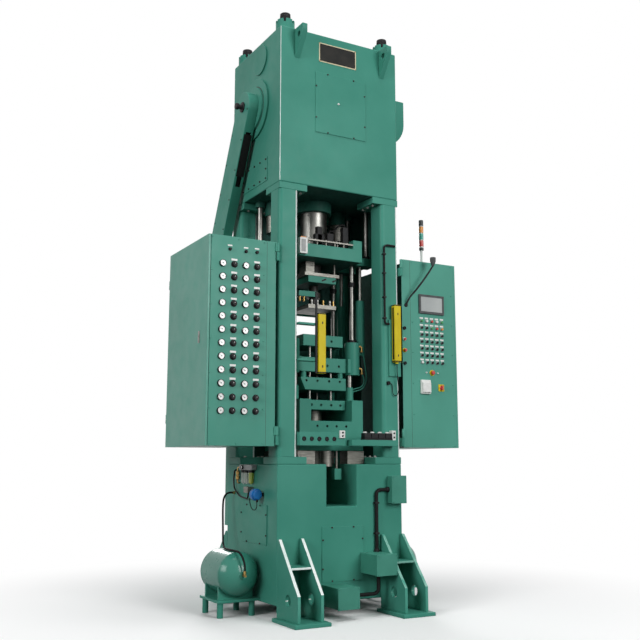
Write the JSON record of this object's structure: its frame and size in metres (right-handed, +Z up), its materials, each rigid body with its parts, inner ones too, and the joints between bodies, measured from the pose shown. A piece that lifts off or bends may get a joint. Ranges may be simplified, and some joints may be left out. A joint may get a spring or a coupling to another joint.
{
  "type": "powder metallurgy press",
  "caption": "Tall four-column compacting press with a crank crown, guided ram, withdrawal die set, swing-out cabinets on both sides and bracketed base.",
  "frame": {"origin": "on the floor, under the press axis, at the middle of the bounding box", "axes": "+Z up along the press axis, -Y towards the operator at the front, +X to the operator's right"},
  "size_m": [2.93, 2.15, 6.15],
  "materials": {
    "paint": "semi-gloss teal machine enamel",
    "chrome": "hard chrome rods",
    "steel": "ground tool steel",
    "black": "black moulded plastic and blackened steel",
    "rubber": "black rubber belt",
    "gauge": "white gauge faces",
    "yellow": "yellow powder coat"
  },
  "bodies": {
    "frame": {"base_lower": "paint", "base_cheeks": "paint", "base_rear_block": "paint", "inspection_covers": "paint", "bracket_gussets": "paint", "foot_plates": "paint", "columns": "paint", "column_pads": "paint", "rear_guard": "paint", "tie_nuts": "paint", "crown": "paint", "lifting_lugs": "paint", "bearing_covers": "paint", "belt_guard": "paint", "drive_belt": "rubber", "belt_pulleys": "steel", "encoder": "black", "main_motor": "paint", "motor_bracket": "paint", "guide_flanges": "paint", "balance_cylinders": "steel", "spacer_blocks": "steel", "bolster": "paint", "pillars": "chrome", "side_cylinders": "paint", "lower_platen": "paint", "punch_platen": "paint", "core_cylinder": "steel", "front_trays": "paint", "valve_manifold": "black", "junction_boxes": "paint", "conduits": "black", "hinge_barrels": "paint", "light_curtains": "yellow", "curtain_brackets": "paint", "air_tanks": "paint", "tank_stands": "paint", "air_unit": "steel", "tank_hose": "rubber", "switch_cable": "rubber", "curtain_cable": "rubber"},
    "ram": {"ram": "chrome", "crosshead": "paint", "limit_switch": "gauge", "crosshead_rail": "steel", "guide_rods": "chrome", "upper_platen": "paint", "upper_punch": "steel"},
    "die_set": {"die_plate": "paint", "pull_rods": "chrome", "yoke_plate": "paint", "lower_ram": "steel"},
    "left_cabinet": {"left_cabinet": "paint", "pressure_gauges": "gauge", "regulator_knobs": "black"},
    "left_door": {"left_cabinet_door": "paint"},
    "right_cabinet": {"right_cabinet": "paint", "right_cabinet_cover": "paint", "operator_controls": "black", "cabinet_lamps": "black"}
  },
  "joints": [
    {"name": "ram_slide", "type": "slide", "parent": "frame", "child": "ram", "axis": [0, 0, -1], "range_m": [0, 0.2]},
    {"name": "die_withdrawal", "type": "slide", "parent": "frame", "child": "die_set", "axis": [0, 0, -1], "range_m": [0, 0.08]},
    {"name": "left_cabinet_swing", "type": "hinge", "parent": "frame", "child": "left_cabinet", "pos_m": [-0.735, -0.615, 2.62], "axis": [0, 0, 1], "range_deg": [0, 90]},
    {"name": "left_door_swing", "type": "hinge", "parent": "left_cabinet", "child": "left_door", "pos_m": [-1.455, 0.497, 2.62], "axis": [0, 0, -1], "range_deg": [0, 110]},
    {"name": "right_cabinet_swing", "type": "hinge", "parent": "frame", "child": "right_cabinet", "pos_m": [0.735, -0.615, 2.62], "axis": [0, 0, -1], "range_deg": [0, 90]}
  ]
}
